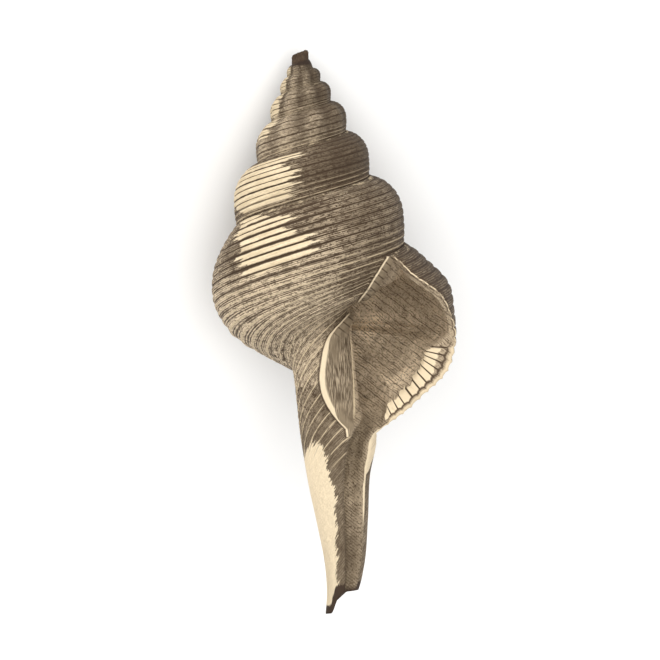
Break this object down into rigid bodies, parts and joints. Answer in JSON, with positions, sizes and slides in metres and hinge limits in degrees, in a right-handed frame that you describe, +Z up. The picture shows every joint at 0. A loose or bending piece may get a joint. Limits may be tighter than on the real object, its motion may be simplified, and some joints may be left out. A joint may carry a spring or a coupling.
{
  "type": "fossil spindle shell",
  "caption": "Long fossil snail shell lying on its back: a tall spire of corded whorls, a swollen last whorl with an open mouth, and a long open canal.",
  "frame": {"origin": "on the floor under the middle of the shell's bounding box", "axes": "+Z up; the shell lies on its back with its mouth up, its apex towards +Y and its canal towards -Y; the mouth is on the +X side"},
  "size_m": [0.038, 0.085, 0.037],
  "materials": {
    "shell": "dull fossil shell, grey-brown with cream patches and dark sediment in its grooves"
  },
  "bodies": {
    "root": {"shell": "shell"}
  },
  "joints": []
}
